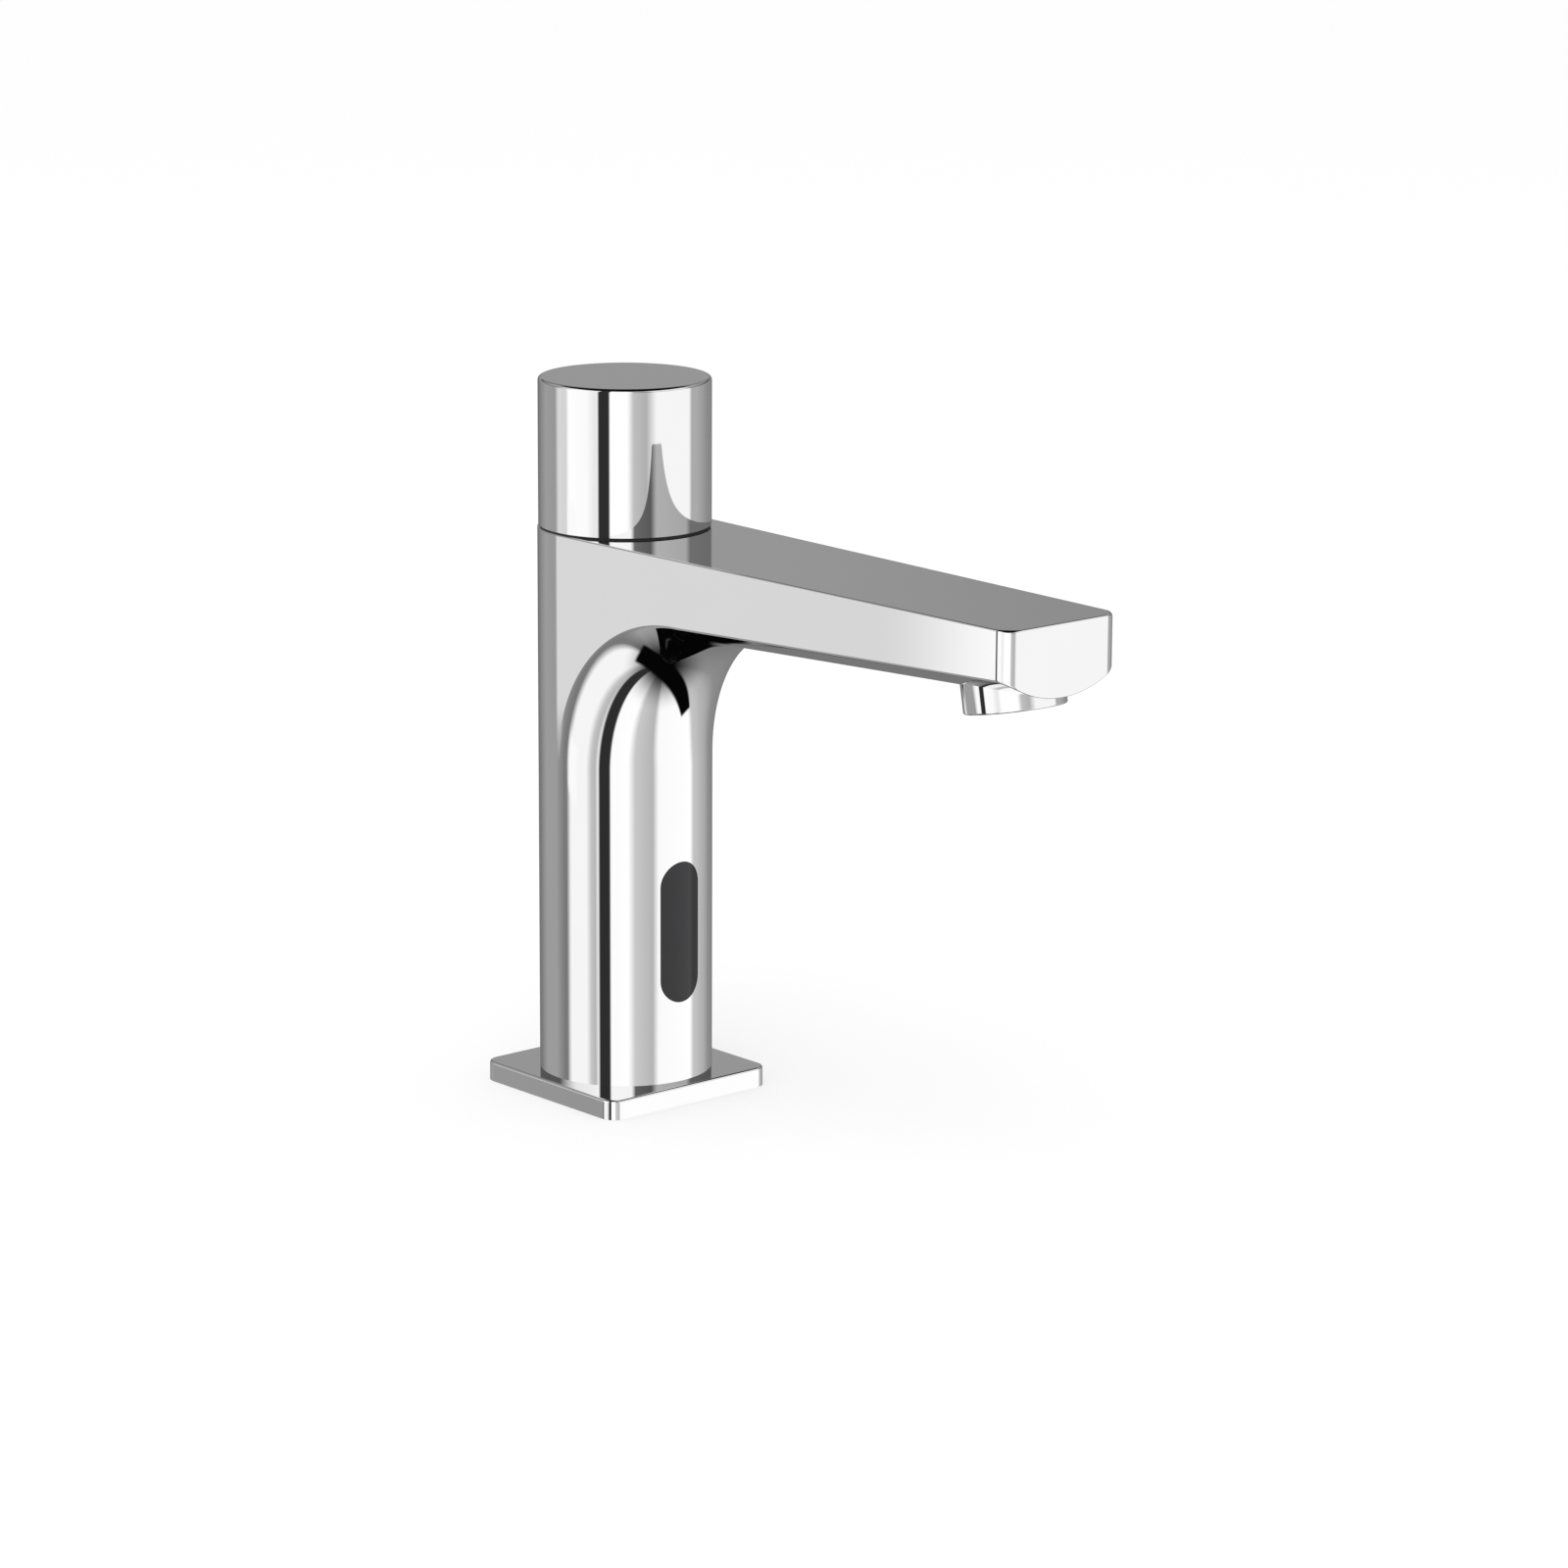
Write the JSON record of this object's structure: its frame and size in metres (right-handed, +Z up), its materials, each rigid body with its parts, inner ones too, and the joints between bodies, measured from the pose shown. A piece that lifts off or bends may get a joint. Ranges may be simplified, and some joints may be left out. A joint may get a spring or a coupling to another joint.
{
  "type": "sensor tap",
  "caption": "Deck-mounted sensor tap: round column bending into a flat-sided spout, dark infrared window in the column and a turning temperature knob on top.",
  "frame": {"origin": "mouth of the fixing stud hole in the underside of the inlet block, on the column axis and level with the deck", "axes": "+Z up along the column axis, -Y forwards along the spout, X across it"},
  "size_m": [0.053, 0.1889, 0.187],
  "materials": {
    "chrome": "polished chrome plate",
    "window": "glossy infrared clear black acrylic",
    "seam_black": "black low friction plastic",
    "dark_rubber": "moulded seal rubber",
    "brass": "machined brass",
    "copper": "drawn copper",
    "stainless": "stainless steel",
    "black_plastic": "moulded black plastic",
    "grey_plastic": "moulded grey plastic",
    "white_plastic": "moulded natural plastic",
    "green_plastic": "moulded green plastic",
    "red_plastic": "moulded red plastic",
    "ceramic": "lapped alumina ceramic",
    "circuit_green": "coated circuit board",
    "eye_lens": "clear blue tinted epoxy",
    "eye_filter": "dark daylight filter epoxy"
  },
  "bodies": {
    "tap": {"body": "chrome", "base_plate": "chrome", "base_gasket": "dark_rubber", "inlet_block": "brass", "block_o_ring": "dark_rubber", "cable_grommet": "dark_rubber", "hot_riser": "copper", "cold_riser": "copper", "riser_o_rings": "dark_rubber", "sensor_window": "window", "window_gasket": "dark_rubber", "sensor_housing": "black_plastic", "sensor_board": "circuit_green", "ir_emitter": "eye_lens", "ir_receiver": "eye_filter", "light_divider": "black_plastic", "sensor_bracket": "stainless", "bracket_screws": "stainless", "sensor_screws": "stainless", "valve_gasket": "dark_rubber", "valve_body": "white_plastic", "diaphragm": "dark_rubber", "valve_bonnet": "black_plastic", "plunger_spring": "stainless", "coil_bobbin": "white_plastic", "coil_winding": "copper", "coil_frame": "stainless", "coil_clip": "stainless", "valve_screws": "stainless", "cartridge_seals": "dark_rubber", "cartridge_base": "white_plastic", "fixed_disc": "ceramic", "cartridge_housing": "white_plastic", "cartridge_nut": "brass", "stop_ring": "red_plastic", "glide_ring": "seam_black", "aerator_housing": "chrome", "aerator_washer": "dark_rubber", "aerator_insert": "grey_plastic", "flow_limiter": "green_plastic", "aerator_screen": "stainless"},
    "knob": {"knob_shell": "chrome", "knob_insert": "grey_plastic", "knob_set_screw": "stainless", "spindle": "brass", "stem_o_ring": "dark_rubber", "disc_carrier": "black_plastic", "moving_disc": "ceramic"},
    "plunger": {"plunger": "stainless"}
  },
  "joints": [
    {"name": "knob_turn", "type": "hinge", "parent": "tap", "child": "knob", "pos_m": [0, 0, 0.168], "axis": [0, 0, 1], "range_deg": [-50, 50]},
    {"name": "plunger_slide", "type": "slide", "parent": "tap", "child": "plunger", "axis": [0, 0, -1], "range_m": [0, 0.0012], "stiffness_N_per_m": 300, "springref_m": -0.003, "deforming": ["plunger_spring"]}
  ]
}
